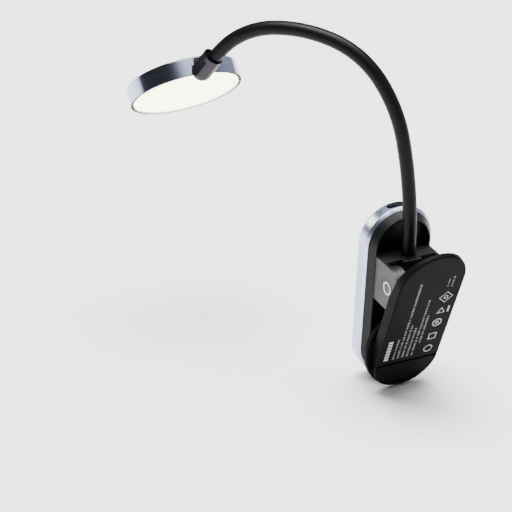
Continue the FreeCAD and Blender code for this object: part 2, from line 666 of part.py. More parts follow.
def neck_arc(name, radius, frame, turn):
    """Bent rod: part of a torus that starts along the frame's tangent."""
    point, tangent, normal = frame
    bend = size("segment_length") / math.radians(turn)
    arc = doc.addObject("Part::Torus", name)
    bind(arc, Radius1=f"segment_length / {math.radians(turn)}", Radius2=radius)
    arc.Angle3 = turn
    arc.Placement = Placement(point + normal * bend,
                              Rotation(-normal, tangent, (-normal).cross(tangent), "XYZ"))
    return arc


def neck_segment(number, frames):
    """Rubber sleeve and steel core of one segment. Its ball end turns in the next one's cup."""
    start, end = frames[number], frames[number + 1]
    turn = NECK_TURNS[number]
    first, last = number == 0, number == len(NECK_TURNS) - 1
    bore_radius = "core_radius + core_gap"
    sleeve = [neck_arc(f"sleeve_arc_{number}", "sleeve_radius", start, turn)]
    core = [neck_arc(f"core_arc_{number}", "core_radius", start, turn)]
    bore = [neck_arc(f"bore_arc_{number}", bore_radius, start, turn)]
    if first:
        foot = "neck_exit - neck_foot"
        base = V(0, size("neck_y"), size("neck_foot"))
        sleeve.append(rod("sleeve_foot", "sleeve_radius", foot, base, start[1]))
        core.append(rod("core_foot", "core_radius", foot, base, start[1]))
        bore.append(rod("bore_foot", bore_radius, foot, base, start[1]))
    if last:
        length = "neck_straight + neck_inset"
        sleeve.append(rod("sleeve_tail", "sleeve_radius", length, end[0], end[1]))
        core.append(rod("core_tail", "core_radius", length, end[0], end[1]))
        bore.append(rod("bore_tail", bore_radius, length, end[0], end[1]))
    else:
        sleeve.append(ball(f"sleeve_ball_{number}", "sleeve_radius", end[0]))
        core.append(rod(f"core_end_{number}", "core_radius", "2", end[0], end[1]))
        bore.append(rod(f"bore_end_{number}", bore_radius, "4", end[0], end[1]))
    cups = []
    core_cups = []
    if not first:
        cups.append(ball(f"cup_{number}", "sleeve_radius + joint_gap", start[0]))
        core_cups.append(ball(f"core_cup_{number}", "sleeve_radius + 0.3", start[0]))
    outer = fuse(f"sleeve_solid_{number}", sleeve)
    finish(cut(f"sleeve_cut_{number}", outer, bore + cups), f"neck_sleeve_{number + 1}")
    inner = fuse(f"core_solid_{number}", core)
    if core_cups:
        inner = cut(f"core_cut_{number}", inner, core_cups)
    finish(inner, f"neck_core_{number + 1}")


def neck_ferrule():
    """Collar that grips the neck where it leaves the hinge block."""
    foot = V(0, size("neck_y"), size("neck_foot"))
    tube = rod("ferrule_tube", "sleeve_radius + ferrule_wall", "block_top - neck_foot", foot, V(0, 0, 1))
    flange = rod("ferrule_flange", "sleeve_radius + flange_wall", "flange_thick",
                 V(0, size("neck_y"), size("block_top") + 0.02), V(0, 0, 1))
    top = rod("ferrule_neck", "sleeve_radius + ferrule_wall", "0.3",
              V(0, size("neck_y"), size("block_top") - 0.1), V(0, 0, 1))
    hole = rod("ferrule_hole", "sleeve_radius + 0.02", "20", foot - V(0, 0, 1), V(0, 0, 1))
    finish(cut("ferrule_cut", fuse("ferrule_solid", [tube, top, flange]), [hole]),
           "neck_ferrule")


# ---- socket and head ------------------------------------------------------------------------------------

def head_rotation():
    return Rotation(ALONG_X, -size("head_tilt")).multiply(
        Rotation(V(0, 0, 1), size("head_turn")))


def barrel_direction(neck_end):
    """The barrel's axis, towards its closed end. It dips a little more than the neck's end."""
    angle = math.radians(size("barrel_bend"))
    return neck_end[1] * math.cos(angle) + neck_end[2] * math.sin(angle)


def head_places(neck_end):
    """Tip of the barrel, the head's pivot, and the centre of the light's face."""
    turn = head_rotation()
    along, axis = neck_end[1], barrel_direction(neck_end)
    inset = size("neck_inset")
    seat = neck_end[0] + along * (size("neck_straight") + inset)
    tip = seat + axis * (size("barrel_length") - inset)
    inward = turn.multVec(V(0, 1, 0))
    down = turn.multVec(V(0, 0, -1))
    side = turn.multVec(ALONG_X)
    pivot = tip + inward * size("pivot_in") - down * size("pivot_up") + side * size("pivot_side")
    centre = pivot + inward * (size("head_radius") + size("pivot_out")) \
        + down * size("pivot_height") - side * size("tongue_side")
    return tip, pivot, centre


def neck_socket(neck_end, tip, pivot):
    """Metal end cap of the neck: a barrel with a drum on its side, slotted for the head."""
    turn = head_rotation()
    axis = turn.multVec(ALONG_X)
    back = barrel_direction(neck_end) * -1
    barrel = rod("barrel", "barrel_radius", "barrel_length", tip, back)
    nose = ball("barrel_nose", "barrel_radius", tip)
    drum = rod("drum", "drum_radius", "2 * drum_half", pivot - axis * size("drum_half"), axis)
    mouth_start = tip + back * (size("barrel_length") - size("mouth_depth"))
    mouth = rod("barrel_mouth", "mouth_radius", "mouth_depth + 1", mouth_start, back)
    seat_start = tip + back * (size("barrel_length") - size("neck_inset")) + neck_end[1] * 0.1
    seat = rod("barrel_seat", "sleeve_radius + running_fit", "10", seat_start, neck_end[1] * -1)
    flat_side = axis * -0.945 + turn.multVec(V(0, -0.3, 0.14))
    flat_side = (flat_side - back * flat_side.dot(back)).normalize()
    flat = doc.addObject("Part::Box", "barrel_flat")
    flat.Length, flat.Width, flat.Height = 8, 8, 14
    flat_corner = tip + back * (size("barrel_length") - size("flat_start"))
    flat.Placement = Placement(flat_corner, Rotation(flat_side, back.cross(flat_side) * -1,
                                                     back * -1, "XYZ"))
    flat.Placement = flat.Placement.multiply(Placement(V(size("flat_distance"), -4, 0),
                                                       Rotation()))
    shaft = cut("barrel_shaft", fuse("barrel_and_nose", [barrel, nose]), [flat])
    solid = fuse("socket_solid", [shaft, drum])
    half = size("tongue_half") + 0.15
    groove = rod("drum_groove", "tongue_radius + 0.2", str(2 * half), pivot - axis * half, axis)
    windows = []
    for angle in WINDOW_ANGLES:
        window = doc.addObject("Part::Box", f"drum_window_{len(windows) + 1}")
        window.Length, window.Width, window.Height = 2 * half, 9.0, 15.0
        window.Placement = Placement(pivot, turn.multiply(Rotation(ALONG_X, angle))).multiply(
            Placement(V(-half, 0, -2.8), Rotation()))
        windows.append(window)
    bore = rod("head_pin_bore", "head_pin_radius", "2 * drum_half - 0.6",
               pivot - axis * (size("drum_half") - 0.3), axis)
    finish(cut("socket_cut", solid, [mouth, seat, groove, *windows, bore]), "neck_socket")
    finish(rod("head_pivot_pin", "head_pin_radius", "2 * drum_half - 0.6",
               pivot - axis * (size("drum_half") - 0.3), axis), "head_pivot_pin")


def local_rod(place, name, radius, length, base, direction):
    """Cylinder given in the head's own frame."""
    return rod(name, radius, length, place.multVec(base), place.Rotation.multVec(direction))


def head(centre):
    """Round lamp head: rim with its pivot tongue, back, light board, guide and diffuser."""
    place = Placement(centre, head_rotation())
    up = V(0, 0, 1)

    outer = local_rod(place, "rim_outer", "head_radius", "head_thick", V(), up)
    rounded = doc.addObject("Part::Chamfer", "rim_chamfered")
    rounded.Base = outer
    rounded.Edges = [(1, 0.4, 0.4), (3, 0.4, 0.4)]
    reach = size("head_radius") + size("pivot_out")
    tongue = doc.addObject("Part::Box", "tongue_web")
    tongue.Length, tongue.Width = 2 * size("tongue_half"), size("pivot_out") + 0.6
    tongue.Height = 2 * size("web_half")
    tongue.Placement = place.multiply(Placement(
        V(size("tongue_side") - size("tongue_half"), -reach,
          size("pivot_height") - size("web_half")),
        Rotation()))
    eye = local_rod(place, "tongue_eye", "tongue_radius", "2 * tongue_half",
                    V(size("tongue_side") - size("tongue_half"), -reach, size("pivot_height")),
                    ALONG_X)
    eye_bore = local_rod(place, "tongue_bore", "head_pin_radius + pin_clearance", "6",
                         V(size("tongue_side") - 3, -reach, size("pivot_height")), ALONG_X)
    window = local_rod(place, "rim_window", "head_radius - head_lip", "1", V(0, 0, -0.5), up)
    inside = local_rod(place, "rim_inside", "head_radius - head_wall", "10", V(0, 0, 0.35), up)
    under = doc.addObject("Part::Box", "tongue_trim")
    under.Length, under.Width, under.Height = 10, 10, 5
    under.Placement = place.multiply(Placement(V(-5, -reach + 2.6, -5.0), Rotation()))
    solid = cut("rim_with_tongue", fuse("rim_solid", [rounded, tongue, eye]),
                [window, inside, eye_bore, under])
    finish(solid, "head_rim")

    inner = "head_radius - head_wall - loose_fit"
    level = 0.37
    finish(local_rod(place, "diffuser", inner, "diffuser_thick", V(0, 0, level), up), "diffuser")
    level += size("diffuser_thick") + 0.05
    finish(local_rod(place, "light_guide", f"{inner} - 0.3", "guide_thick - 1.2",
                     V(0, 0, level), up), "light_guide")
    level += size("guide_thick") - 1.15
    board_level = level + 0.75
    leds = []
    led_corner = V(-size("led_width") / 2, -size("led_length") / 2, 0)
    for ring, count in LED_RINGS:
        for number in range(count):
            angle = 2 * math.pi * number / count
            led = doc.addObject("Part::Box", f"led_{count}_{number}")
            bind(led, Length="led_width", Width="led_length", Height="led_height")
            spot = Placement(V(size(ring) * math.cos(angle), size(ring) * math.sin(angle), level),
                             Rotation(up, math.degrees(angle)))
            led.Placement = place.multiply(spot).multiply(Placement(led_corner, Rotation()))
            leds.append(led)
    group = doc.addObject("Part::Compound", "leds_group")
    group.Links = leds
    finish(group, "leds")
    finish(local_rod(place, "led_board", f"{inner} - 0.5", "led_board_thick",
                     V(0, 0, board_level), up), "led_board")
    back_level = size("head_thick") - size("back_thick") - 0.15
    finish(local_rod(place, "head_back", inner, "back_thick", V(0, 0, back_level), up),
           "head_back")


# ---- assembly -------------------------------------------------------------------------------------------

metal_case()
status_light()
inner_shell()
fixed_pad()
electronics()
hinge_block()
block_screws()
hinge_pin()
power_button()
torsion_springs()
arm_cover()
arm_liners()
jaw()
jaw_pad()
jaw_pin()
neck_ferrule()
frames = neck_frames()
for segment in range(len(NECK_TURNS)):
    neck_segment(segment, frames)
barrel_tip, head_pivot, face_centre = head_places(frames[-1])
neck_socket(frames[-1], barrel_tip, head_pivot)
head(face_centre)

doc.recompute()
for obj in doc.Objects:
    if "Invalid" in obj.State or "Error" in obj.State:
        raise RuntimeError(f"{obj.Name} failed: {obj.State}")
os.makedirs("parts", exist_ok=True)
for obj in parts:
    if obj.Shape.isNull() or not obj.Shape.isValid():
        raise RuntimeError(f"{obj.Label} is not a valid solid")
    obj.Shape.exportStep(f"parts/{obj.Label}.step")
    print(obj.Label, len(obj.Shape.Solids), round(obj.Shape.Volume, 1))
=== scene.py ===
import json
import math
import random

import bmesh
import bpy
from mathutils import Matrix, Vector


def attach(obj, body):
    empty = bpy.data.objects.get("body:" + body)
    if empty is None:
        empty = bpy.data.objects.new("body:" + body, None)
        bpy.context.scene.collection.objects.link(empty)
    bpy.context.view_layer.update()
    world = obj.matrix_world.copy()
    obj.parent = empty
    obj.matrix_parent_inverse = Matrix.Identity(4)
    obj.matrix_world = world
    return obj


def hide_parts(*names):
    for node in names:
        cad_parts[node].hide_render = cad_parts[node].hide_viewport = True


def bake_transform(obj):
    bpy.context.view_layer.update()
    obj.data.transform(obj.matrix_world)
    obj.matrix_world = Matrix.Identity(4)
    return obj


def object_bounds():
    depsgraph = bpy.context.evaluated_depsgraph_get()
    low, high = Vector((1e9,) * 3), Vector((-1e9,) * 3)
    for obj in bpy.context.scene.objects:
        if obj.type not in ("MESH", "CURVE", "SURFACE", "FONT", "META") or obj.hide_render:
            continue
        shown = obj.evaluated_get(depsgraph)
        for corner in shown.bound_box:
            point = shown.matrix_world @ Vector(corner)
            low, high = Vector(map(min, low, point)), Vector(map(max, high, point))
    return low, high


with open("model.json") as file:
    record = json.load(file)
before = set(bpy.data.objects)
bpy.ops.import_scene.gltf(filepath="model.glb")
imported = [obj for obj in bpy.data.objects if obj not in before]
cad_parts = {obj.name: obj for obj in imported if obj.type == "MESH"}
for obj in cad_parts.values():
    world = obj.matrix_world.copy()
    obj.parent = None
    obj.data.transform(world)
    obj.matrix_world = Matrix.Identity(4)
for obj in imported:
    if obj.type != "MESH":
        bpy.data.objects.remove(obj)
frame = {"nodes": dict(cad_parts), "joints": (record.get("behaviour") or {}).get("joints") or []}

LOADED_BOUNDS = [list(corner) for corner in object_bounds()]

# Sizes below are in millimetres. Z is up, Y points out of the clip body's flat face.
MM = 0.001
X, Y, Z = Vector((1, 0, 0)), Vector((0, 1, 0)), Vector((0, 0, 1))
JOINTS = {joint["name"]: joint for joint in frame["joints"]}


def joint_point(name):
    """Where a joint is, in millimetres."""
    return Vector(JOINTS[name]["pos_m"]) / MM


# ---- materials ---------------------------------------------------------------------------------

def surface(name, color, second, rough, metal=0.0, scale=300.0, bump=0.0, bump_scale=4000.0,
            edge=0.0, specular=0.5, glow=None):
    """Principled surface whose colour and roughness drift with noise, with a fine grain."""
    mat = bpy.data.materials.new(name)
    mat.use_nodes = True
    tree = mat.node_tree
    nodes = tree.nodes
    shader = nodes["Principled BSDF"]
    coords = nodes.new("ShaderNodeTexCoord")
    cloud = nodes.new("ShaderNodeTexNoise")
    cloud.inputs["Scale"].default_value = scale
    cloud.inputs["Detail"].default_value = 5.0
    tint = nodes.new("ShaderNodeMix")
    tint.data_type = "RGBA"
    tint.inputs["A"].default_value = (*color, 1.0)
    tint.inputs["B"].default_value = (*second, 1.0)
    gloss = nodes.new("ShaderNodeMapRange")
    gloss.inputs["From Min"].default_value = 0.3
    gloss.inputs["From Max"].default_value = 0.7
    gloss.inputs["To Min"].default_value = rough[0]
    gloss.inputs["To Max"].default_value = rough[1]
    tree.links.new(coords.outputs["Object"], cloud.inputs["Vector"])
    tree.links.new(cloud.outputs["Fac"], tint.inputs["Factor"])
    tree.links.new(cloud.outputs["Fac"], gloss.inputs["Value"])
    tree.links.new(tint.outputs["Result"], shader.inputs["Base Color"])
    tree.links.new(gloss.outputs["Result"], shader.inputs["Roughness"])
    shader.inputs["Metallic"].default_value = metal
    shader.inputs["Specular IOR Level"].default_value = specular
    normal = None
    if edge:
        rounding = nodes.new("ShaderNodeBevel")
        rounding.samples = 6
        rounding.inputs["Radius"].default_value = edge * MM
        normal = rounding.outputs["Normal"]
    if bump:
        grain = nodes.new("ShaderNodeTexNoise")
        grain.inputs["Scale"].default_value = bump_scale
        grain.inputs["Detail"].default_value = 3.0
        relief = nodes.new("ShaderNodeBump")
        relief.inputs["Strength"].default_value = bump
        relief.inputs["Distance"].default_value = 0.05 * MM
        tree.links.new(coords.outputs["Object"], grain.inputs["Vector"])
        tree.links.new(grain.outputs["Fac"], relief.inputs["Height"])
        if normal is not None:
            tree.links.new(normal, relief.inputs["Normal"])
        normal = relief.outputs["Normal"]
    if normal is not None:
        tree.links.new(normal, shader.inputs["Normal"])
    if glow:
        shader.inputs["Emission Color"].default_value = (*glow[:3], 1.0)
        shader.inputs["Emission Strength"].default_value = glow[3]
    return mat


ANODISED = surface("anodised", (0.47, 0.52, 0.73), (0.50, 0.55, 0.76), (0.27, 0.3), metal=1.0,
                   scale=1200.0)
RIM_METAL = surface("rim_metal", (0.46, 0.50, 0.68), (0.49, 0.53, 0.71), (0.12, 0.15), metal=1.0,
                    scale=1200.0)
BARREL_METAL = surface("barrel_metal", (0.033, 0.032, 0.036), (0.042, 0.04, 0.045),
                       (0.28, 0.34), metal=1.0, scale=1200.0)
LIP = surface("dark_lip", (0.006, 0.0055, 0.005), (0.009, 0.0085, 0.008), (0.4, 0.5),
              specular=0.05)
BLACK = surface("black_plastic", (0.004, 0.004, 0.0042), (0.006, 0.006, 0.0062), (0.36, 0.44),
                bump=0.12, edge=0.12, specular=0.2)
# Same black plastic as the bezel and lever, made lighter and glossier: painted light on the hinge
# block and button, for the light that falls on the cheek from the left.
LIT_BLOCK_PLASTIC = surface("block_plastic_painted_light", (0.0075, 0.0075, 0.008), (0.0095, 0.0095, 0.01),
                     (0.34, 0.4), bump=0.12, edge=0.1, specular=0.44)
# Same black plastic again, made darker and almost without specular: painted shade on the lever
# cover and jaw plate, whose outer faces get the light only at a grazing angle.
SHADED_BLACK_PLASTIC = surface("charcoal_plastic", (0.0026, 0.0026, 0.0027), (0.004, 0.004, 0.0042),
                   (0.46, 0.54), bump=0.15, edge=0.1, specular=0.03)
SILICONE = surface("silicone", (0.004, 0.004, 0.0042), (0.006, 0.006, 0.0062), (0.6, 0.75),
                   bump=0.25, bump_scale=2500.0, edge=0.1, specular=0.15)
SLEEVE = surface("neck_silicone", (0.0035, 0.0035, 0.0037), (0.005, 0.005, 0.0052),
                 (0.36, 0.44), bump=0.08, specular=0.1)
STEEL = surface("steel", (0.42, 0.42, 0.43), (0.5, 0.5, 0.51), (0.22, 0.36), metal=1.0,
                bump=0.1, edge=0.05)
DARK_STEEL = surface("spring_steel", (0.05, 0.05, 0.055), (0.08, 0.08, 0.085), (0.25, 0.4),
                     metal=1.0, bump=0.1)
SCREW_STEEL = surface("screw_steel", (0.3, 0.3, 0.32), (0.36, 0.36, 0.38), (0.3, 0.4), metal=1.0)
PORT_STEEL = surface("port_steel", (0.08, 0.08, 0.085), (0.11, 0.11, 0.115), (0.25, 0.35),
                     metal=1.0, edge=0.05)
DIFFUSER = surface("opal", (0.98, 0.965, 0.87), (0.95, 0.94, 0.88), (0.35, 0.5), scale=60.0,
                   glow=(1.0, 0.9, 0.52, 6.0))
CLEAR = surface("clear_plastic", (0.85, 0.86, 0.84), (0.8, 0.81, 0.8), (0.08, 0.15))
SMOKE = surface("smoked_plastic", (0.01, 0.01, 0.01), (0.014, 0.014, 0.014), (0.2, 0.3))
BATTERY = surface("battery_foil", (0.5, 0.52, 0.55), (0.55, 0.57, 0.6), (0.25, 0.4), metal=0.6)
BOARD = surface("board_green", (0.02, 0.12, 0.05), (0.03, 0.15, 0.06), (0.3, 0.45), scale=900.0)
WHITE_BOARD = surface("board_white", (0.8, 0.8, 0.78), (0.85, 0.85, 0.83), (0.35, 0.5))
PHOSPHOR = surface("led_phosphor", (0.8, 0.62, 0.15), (0.85, 0.7, 0.25), (0.2, 0.3))
WHITE_INK = surface("white_ink", (0.95, 0.95, 0.96), (0.9, 0.9, 0.91), (0.5, 0.6))
GREY_INK = surface("grey_ink", (0.08, 0.08, 0.08), (0.12, 0.12, 0.12), (0.6, 0.7), scale=2000.0)
LIGHT_INK = surface("light_ink", (0.30, 0.30, 0.30), (0.36, 0.36, 0.36), (0.6, 0.7),
                    scale=2000.0)


# ---- mesh tools --------------------------------------------------------------------------------

FLAT_ANGLE = math.radians(0.5)
NODE_MERGE = 0.002      # points of a CAD mesh this near are one point
RING_MERGE = 0.0004


def dress(obj, mat, angle=28.0):
    """Material, smooth shading that keeps hard edges, and normals that follow the large faces."""
    mesh = obj.data
    mesh.materials.clear()
    mesh.materials.append(mat)
    for polygon in mesh.polygons:
        polygon.use_smooth = True
    mesh.set_sharp_from_angle(angle=math.radians(angle))
    weighted = obj.modifiers.new("weighted_normals", "WEIGHTED_NORMAL")
    weighted.keep_sharp = True
    return obj


def settle(obj, body, nodes=()):
    """Ride on a body, and stand for CAD nodes."""
    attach(obj, body)
    if nodes:
        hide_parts(*nodes)
    return obj


def new_object(name, verts, faces):
    mesh = bpy.data.meshes.new(name)
    mesh.from_pydata([tuple(v * MM) for v in verts], [], faces)
    mesh.update()
    obj = bpy.data.objects.new(name, mesh)
    bpy.context.scene.collection.objects.link(obj)
    return obj


def skin(name, rings, capped=True):
    """Closed rings of points, joined one to the next by quads, with a face at each end."""
    count = len(rings[0])
    verts = [point for ring in rings for point in ring]
    faces = []
    for level in range(len(rings) - 1):
        low, high = level * count, (level + 1) * count
        for i in range(count):
            j = (i + 1) % count
            faces.append((low + i, low + j, high + j, high + i))
    if capped:
        last = (len(rings) - 1) * count
        faces.append(tuple(reversed(range(count))))
        faces.append(tuple(last + i for i in range(count)))
    obj = new_object(name, verts, faces)
    clean(obj.data)
    return obj


def clean(mesh, distance=0.0, flatten=False):
    """Merge near points, then either join faces of one plane or turn every face outwards."""
    bm = bmesh.new()
    bm.from_mesh(mesh)
    if distance:
        bmesh.ops.remove_doubles(bm, verts=bm.verts, dist=distance * MM)
    if flatten:
        bmesh.ops.dissolve_limit(bm, angle_limit=FLAT_ANGLE, verts=bm.verts, edges=bm.edges)
    else:
        bmesh.ops.recalc_face_normals(bm, faces=bm.faces)
    bm.to_mesh(mesh)
    bm.free()


def axes_of(direction):
    """Two unit vectors square to a direction."""
    side = direction.orthogonal().normalized()
    return side, direction.cross(side).normalized()


def lathe(name, profile, base, direction, count=96, closed=False):
    """Turned piece: (radius, distance along the axis) pairs about an axis."""
    direction = direction.normalized()
    side, up = axes_of(direction)
    rings = []
    for radius, along in profile:
        centre = base + direction * along
        rings.append([centre + (side * math.cos(a) + up * math.sin(a)) * max(radius, 0.001)
                      for a in (2 * math.pi * i / count for i in range(count))])
    if closed:
        rings.append(rings[0])
    obj = skin(name, rings, not closed)
    if closed:
        clean(obj.data, RING_MERGE)
    return obj


def tube(name, path, radius, count):
    """Round tube along points, turned as little as possible on the way."""
    tangents = []
    for i, point in enumerate(path):
        before, after = path[max(i - 1, 0)], path[min(i + 1, len(path) - 1)]
        tangents.append((after - before).normalized())
    side = axes_of(tangents[0])[0]
    rings = []
    for point, tangent in zip(path, tangents):
        side = (side - tangent * side.dot(tangent)).normalized()
        up = tangent.cross(side)
        rings.append([point + (side * math.cos(a) + up * math.sin(a)) * radius
                      for a in (2 * math.pi * i / count for i in range(count))])
    return skin(name, rings)


def round_edges(obj, width, segments, angle):
    """Bevel on the edges that turn by more than an angle."""
    bevel = obj.modifiers.new("edges", "BEVEL")
    bevel.width = width * MM
    bevel.segments = segments
    bevel.limit_method = "ANGLE"
    bevel.angle_limit = math.radians(angle)


def edged(node, name, body, mat, width, segments=3):
    """Copy of a CAD node whose hard edges are slightly rounded. It stands for that node."""
    mesh = frame["nodes"][node].data.copy()
    mesh.name = name
    obj = bpy.data.objects.new(name, mesh)
    bpy.context.scene.collection.objects.link(obj)
    clean(mesh, NODE_MERGE, flatten=True)
    if "custom_normal" in mesh.attributes:
        mesh.attributes.remove(mesh.attributes["custom_normal"])
    round_edges(obj, width, segments, 30.0)
    dress(obj, mat, 35.0)
    return settle(obj, body, [node])


def carve(obj, cutters):
    """Take cutter pieces away from a mesh, and drop them."""
    for cutter in cutters:
        hole = obj.modifiers.new("hole", "BOOLEAN")
        hole.operation = "DIFFERENCE"
        hole.solver = "EXACT"
        hole.object = cutter
    bpy.context.view_layer.update()
    shaped = obj.evaluated_get(bpy.context.evaluated_depsgraph_get())
    mesh = bpy.data.meshes.new_from_object(shaped)
    obj.modifiers.clear()
    obj.data = mesh
    for cutter in cutters:
        bpy.data.objects.remove(cutter)
    return obj


def pill(radius, y, upper, lower, count=96):
    """Pill-shaped ring of points in a plane across Y."""
    half = count // 2
    points = []
    for i in range(half + 1):
        angle = math.pi * i / half
        points.append(Vector((radius * math.cos(angle), y, upper + radius * math.sin(angle))))
    for i in range(half + 1):
        angle = math.pi + math.pi * i / half
        points.append(Vector((radius * math.cos(angle), y, lower + radius * math.sin(angle))))
    return points


def quarter(radius_from, level_from, radius_to, level_to, steps=6):
    """Rounded corner in a profile, from one point to another, bulging outwards."""
    points = []
    for i in range(steps + 1):
        angle = 0.5 * math.pi * i / steps
        points.append((radius_to + (radius_from - radius_to) * math.cos(angle),
                       level_from + (level_to - level_from) * math.sin(angle)))
    return points


# ---- clip body ---------------------------------------------------------------------------------

BODY = "clip_body"
UPPER, LOWER = 45.0, 0.0            # centres of the body's two round ends
PORT_Y, PORT_HALF = 9.7, 2.84       # charging slot: its middle and half its straight part
PORT_SLOT_RADIUS = 1.75
PORT_CUT = (56.0, 63.0)             # heights between which the slot passes through the band
LIGHT_ANGLE, LIGHT_DROP, PINHOLE_RADIUS = math.radians(29.1), 0.35, 0.45
LIGHT_CUT_START, LIGHT_CUT_LENGTH = 12.5, 4.0
BLOCK_TOP = 42.85                   # lower edge of the finger recess

# profiles are (radius of the pill outline's round ends, level along Y)
case_profile = [(13.7, 11.4), (13.7, 5.83), (13.74, 5.77), (13.82, 5.75), (14.06, 5.75),
                (14.15, 5.80), (14.90, 6.74), (14.97, 6.86), (15.0, 7.0), (15.0, 11.1)]
case_profile += quarter(15.0, 11.1, 13.8, 12.3, 8)[1:]
case = skin("case_shell", [pill(r, y, UPPER, LOWER) for r, y in case_profile])


def port_ring(z, count=48):
    """Flat-sided oval of the charging slot."""
    points = []
    for i in range(count):
        angle = 2 * math.pi * i / count
        c, s = math.cos(angle), math.sin(angle)
        shift = math.copysign(PORT_HALF, c) if abs(c) > 1e-9 else 0.0
        points.append(Vector((shift + PORT_SLOT_RADIUS * c, PORT_Y + PORT_SLOT_RADIUS * s, z)))
    return points


port_cutter = skin("port_cutter", [port_ring(z) for z in PORT_CUT])
light_direction = Vector((-math.sin(LIGHT_ANGLE), 0, math.cos(LIGHT_ANGLE)))
light_base = Vector((0, PORT_Y - LIGHT_DROP, UPPER)) + light_direction * LIGHT_CUT_START
light_profile = [(PINHOLE_RADIUS, 0), (PINHOLE_RADIUS, LIGHT_CUT_LENGTH)]
light_cutter = lathe("light_cutter", light_profile, light_base, light_direction, 24)
carve(case, [port_cutter, light_cutter])
round_edges(case, 0.1, 2, 55)
dress(case, ANODISED)
settle(case, BODY, ["metal_case"])

bezel_profile = [(12.6, 7.7), (13.5, 7.7), (13.6, 7.6), (13.6, 5.75), (14.0, 5.74),
                 (12.12, 2.80), (12.02, 2.69), (11.9, 2.65), (11.5, 2.65), (11.43, 2.68),
                 (11.4, 2.75), (11.4, 3.65)]
bezel = skin("inner_bezel", [pill(r, y, UPPER, LOWER) for r, y in bezel_profile])


def recess_ring(radius, y, count=48):
    """Half-round outline of the finger recess."""
    points = [Vector((radius * math.cos(a), y, UPPER + radius * math.sin(a)))
              for a in (math.pi * i / count for i in range(count + 1))]
    return points + [Vector((-radius, y, BLOCK_TOP)), Vector((radius, y, BLOCK_TOP))]


recess_levels = [(11.4, 1.0), (11.4, 6.4), (11.33, 6.65), (11.15, 6.83), (10.9, 6.9)]
recess_cutter = skin("recess_cutter", [recess_ring(r, y) for r, y in recess_levels])
carve(bezel, [recess_cutter])
dress(bezel, BLACK)
settle(bezel, BODY, ["inner_shell"])

edged("fixed_jaw_pad", "fixed_pad", BODY, SILICONE, 0.12)
edged("usb_c_receptacle", "port_shell", BODY, PORT_STEEL, 0.06, 2)
# the hinge block takes the lighter copy of the black plastic: painted light
edged("hinge_block", "hinge_block_body", BODY, LIT_BLOCK_PLASTIC, 0.12, 3)
edged("neck_ferrule", "neck_collar", BODY, BLACK, 0.1)

HINGE = joint_point("lever_hinge")
HINGE_PIN_START, HINGE_PIN_LENGTH, HINGE_PIN_RADIUS = -9.9, 21.4, 1.25


def pin_rod(name, start, length, radius, bevel, count):
    """Round pin along X with bevelled ends."""
    profile = [(radius - bevel[0], 0), (radius, bevel[1]), (radius, length - bevel[1]),
               (radius - bevel[0], length)]
    return lathe(name, profile, start, X, count)


pin = pin_rod("hinge_pin_rod", HINGE + X * HINGE_PIN_START, HINGE_PIN_LENGTH, HINGE_PIN_RADIUS,
              (0.35, 0.3), 48)
dress(pin, STEEL)
settle(pin, BODY, ["hinge_pin"])

COIL_RADIUS, COIL_WIRE, COIL_PITCH, COIL_TURNS, COIL_START = 8.1, 0.33, 0.74, 5.2, 10.25
BLOCK_LEG, LEVER_LEG = 3.1, 4.4
COIL_STEPS = 60                     # points in one turn


def spring(side):
    """Torsion spring round the pin: a coil with a leg to the block and one to the lever."""
    path = []
    for i in range(round(COIL_TURNS * COIL_STEPS) + 1):
        angle = 2 * math.pi * i / COIL_STEPS
        path.append(HINGE + Vector((side * (COIL_START - COIL_PITCH * i / COIL_STEPS),
                                    -COIL_RADIUS * math.sin(angle),
                                    COIL_RADIUS * math.cos(angle))))
    last = 2 * math.pi * COIL_TURNS
    lever_leg = Vector((0, -math.cos(last), -math.sin(last)))
    path = [path[0] + Y * BLOCK_LEG * k for k in (1.0, 0.5)] + path
    path += [path[-1] + lever_leg * LEVER_LEG * k for k in (0.5, 1.0)]
    obj = tube(f"torsion_spring_{'left' if side < 0 else 'right'}", path, COIL_WIRE, 14)
    dress(obj, DARK_STEEL)
    return settle(obj, BODY, ["torsion_springs"])


for side in (-1, 1):
    spring(side)

# ---- push button -------------------------------------------------------------------------------

BLOCK_HALF = 11.85                  # from the middle to the cheek's outer face
button_base = HINGE - X * BLOCK_HALF
button_profile = [(0.0, 0.05), (3.2, 0.02), (4.1, 0.0), (4.17, 0.03), (4.2, 0.1),
                  (4.2, 0.8), (0.0, 0.8)]
button = lathe("button_cap", button_profile, button_base, X)
# the button takes the lighter copy of the black plastic: painted light
dress(button, LIT_BLOCK_PLASTIC)
settle(button, "button", ["power_button"])
ring_profile = [(2.15, 0.0), (2.2, -0.03), (2.55, -0.03), (2.6, 0.0), (2.6, 0.06), (2.15, 0.06)]
ring = lathe("button_ring", ring_profile, button_base, X, closed=True)
dress(ring, WHITE_INK)
settle(ring, "button")

# ---- lever -------------------------------------------------------------------------------------

ARM_TILT = math.radians(17)
LEVER = Matrix.Translation(HINGE) @ Matrix.Rotation(ARM_TILT, 4, "X")
# the lever cover takes the darker copy of the black plastic: painted shade
edged("arm_cover", "lever_cover", "lever", SHADED_BLACK_PLASTIC, 0.15, 3)
edged("finger_liner", "lever_finger_liner", "lever", BLACK, 0.12)
edged("lower_liner", "lever_lower_liner", "lever", BLACK, 0.12)
JAW_PIN_HALF, JAW_PIN_RADIUS = 14.15, 0.8
jaw_rod = pin_rod("jaw_pin_rod", joint_point("jaw_tilt") - X * JAW_PIN_HALF, 2 * JAW_PIN_HALF,
                  JAW_PIN_RADIUS, (0.2, 0.2), 32)
dress(jaw_rod, DARK_STEEL)
settle(jaw_rod, "lever", ["jaw_pin"])

# flat marks on the lever's outer face, in the lever's own X and Z
MARK_LEVEL, MARK_THICK, MARK_SINK = -10.93, 0.03, 0.02


